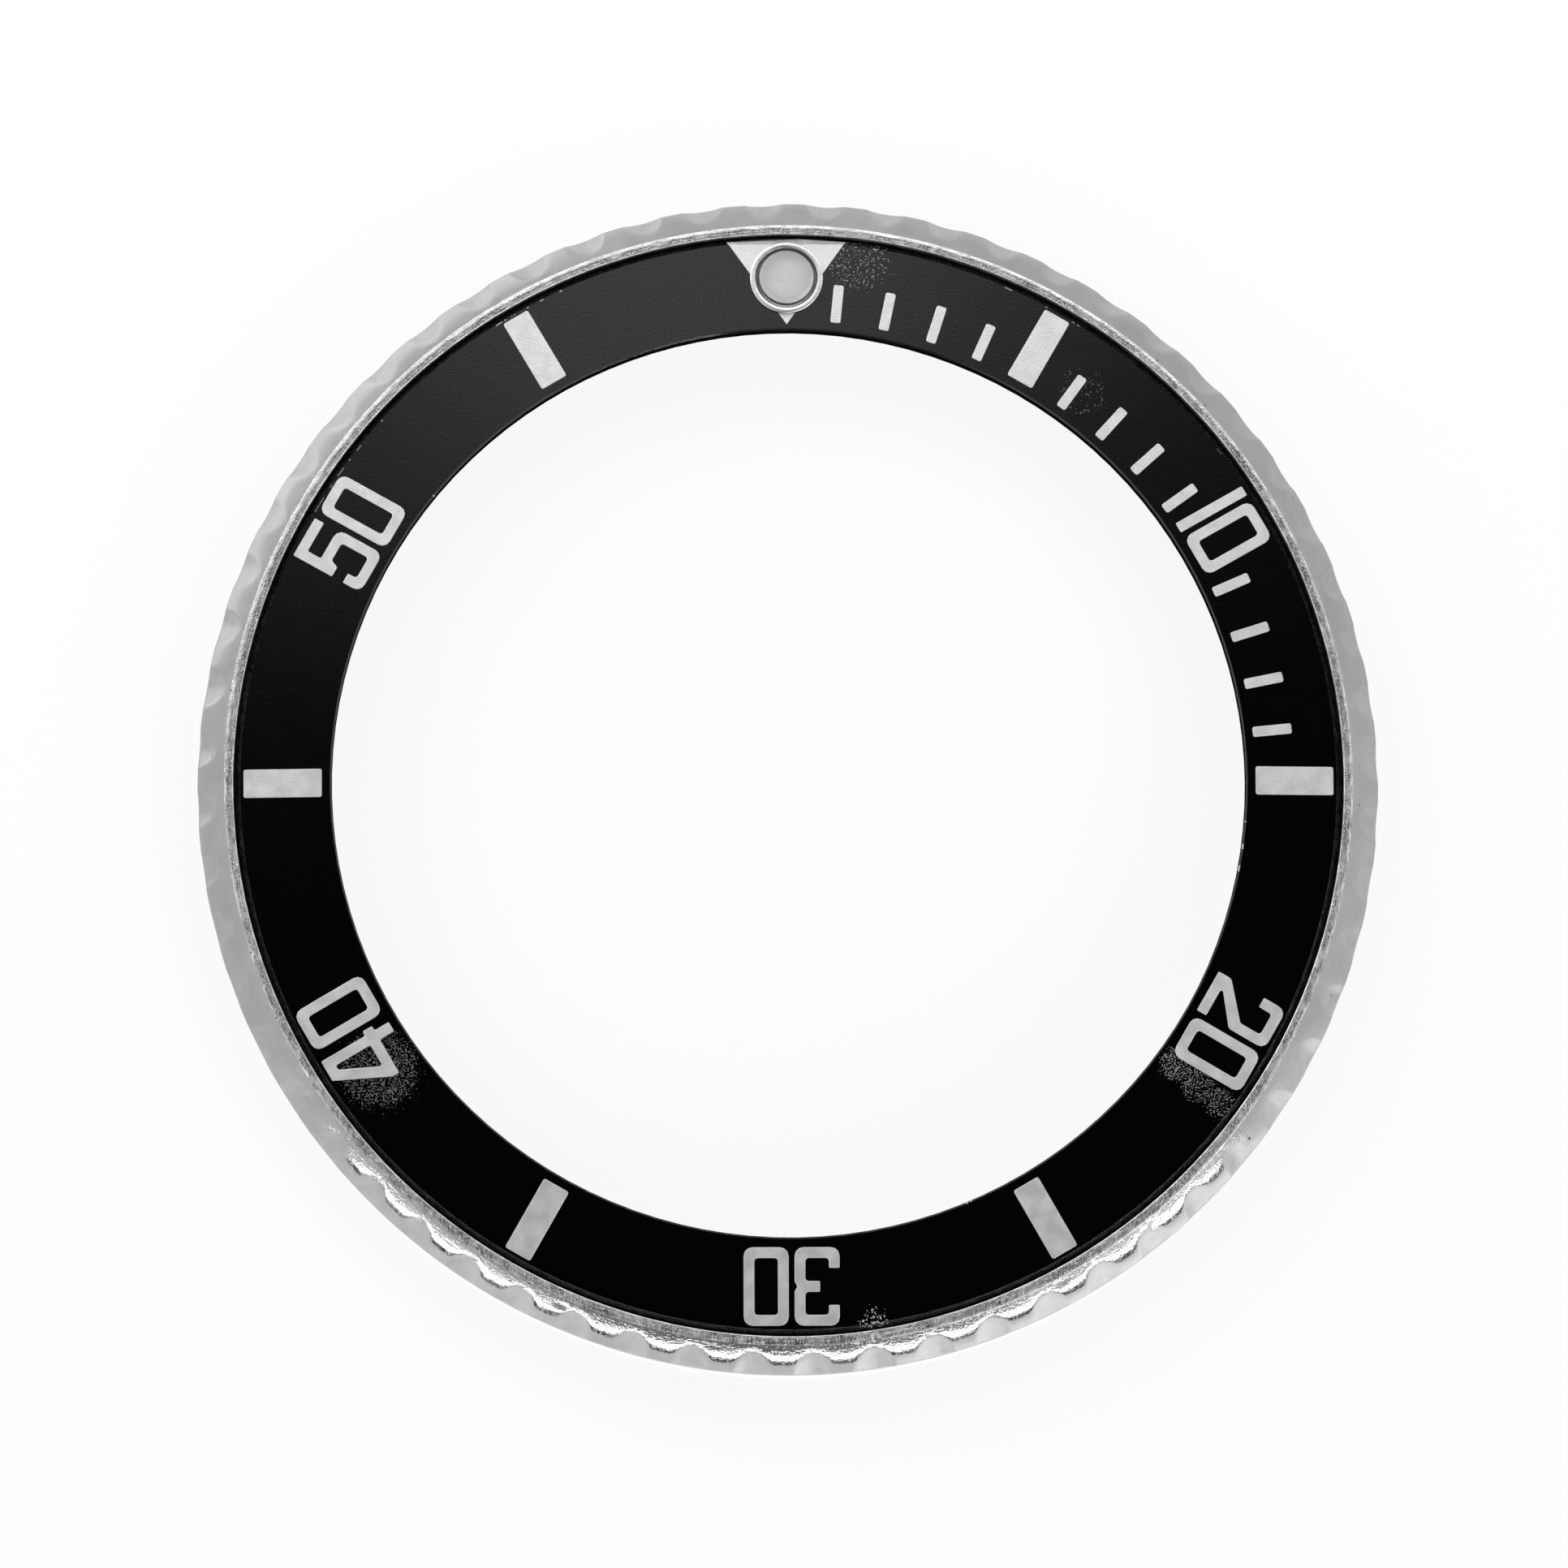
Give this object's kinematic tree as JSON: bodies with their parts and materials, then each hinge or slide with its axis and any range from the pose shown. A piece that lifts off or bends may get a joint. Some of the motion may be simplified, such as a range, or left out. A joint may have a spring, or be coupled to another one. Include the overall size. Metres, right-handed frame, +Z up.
{
  "type": "watch bezel insert in its rotating bezel",
  "caption": "Rotating diving-watch bezel: black minute insert with a luminous pearl in a scalloped steel ring, on a base ring with click springs.",
  "frame": {"origin": "centre of the face of the base ring that seats on the watch case, on the axis of rotation", "axes": "+Z up along the axis of rotation towards the insert, +Y towards the triangle at 12 o'clock, +X towards the 15 minute bar"},
  "size_m": [0.0398, 0.0398, 0.0034],
  "materials": {
    "base_steel": "turned stainless steel",
    "spring_steel": "hardened spring steel, bright",
    "gasket_rubber": "matte black nitrile",
    "pin_steel": "turned steel",
    "bezel_steel": "polished stainless steel with brushed lip, worn",
    "ratchet_steel": "cut steel",
    "adhesive": "double-sided adhesive film",
    "insert_black": "black anodised aluminium, satin gloss",
    "marking_silver": "fine grained matte silver",
    "cup_metal": "bright turned metal",
    "lume": "matte luminous compound",
    "dome_clear": "clear polished dome"
  },
  "bodies": {
    "base": {"base_ring": "base_steel", "retaining_wire": "spring_steel", "bezel_gasket": "gasket_rubber", "click_pins": "pin_steel", "click_foot_1": "spring_steel", "click_foot_2": "spring_steel", "click_foot_3": "spring_steel"},
    "bezel": {"bezel_ring": "bezel_steel", "ratchet_ring": "ratchet_steel", "insert_adhesive": "adhesive", "insert_plate": "insert_black", "marker_triangle": "marking_silver", "pearl_cup": "cup_metal", "pearl_lume": "lume", "pearl_dome": "dome_clear", "numeral_10": "marking_silver", "numeral_20": "marking_silver", "numeral_30": "marking_silver", "numeral_40": "marking_silver", "numeral_50": "marking_silver", "bar_05": "marking_silver", "bar_15": "marking_silver", "bar_25": "marking_silver", "bar_35": "marking_silver", "bar_45": "marking_silver", "bar_55": "marking_silver", "ticks_01_to_04": "marking_silver", "ticks_06_to_09": "marking_silver", "ticks_11_to_14": "marking_silver"},
    "click_1": {"click_arm_1": "spring_steel"},
    "click_2": {"click_arm_2": "spring_steel"},
    "click_3": {"click_arm_3": "spring_steel"}
  },
  "joints": [
    {"name": "bezel_turn", "type": "hinge", "parent": "base", "child": "bezel", "pos_m": [0, 0, 0], "axis": [0, 0, 1], "continuous": true},
    {"name": "click_bend_1", "type": "hinge", "parent": "base", "child": "click_1", "pos_m": [0.01544, 0.00891, 0.00075], "axis": [0, 0, 1], "range_deg": [0, 3], "stiffness_Nm_per_rad": 0.1},
    {"name": "click_bend_2", "type": "hinge", "parent": "base", "child": "click_2", "pos_m": [-0.01544, 0.00891, 0.00075], "axis": [0, 0, 1], "range_deg": [0, 3], "stiffness_Nm_per_rad": 0.1},
    {"name": "click_bend_3", "type": "hinge", "parent": "base", "child": "click_3", "pos_m": [0, -0.01783, 0.00075], "axis": [0, 0, 1], "range_deg": [0, 3], "stiffness_Nm_per_rad": 0.1}
  ]
}
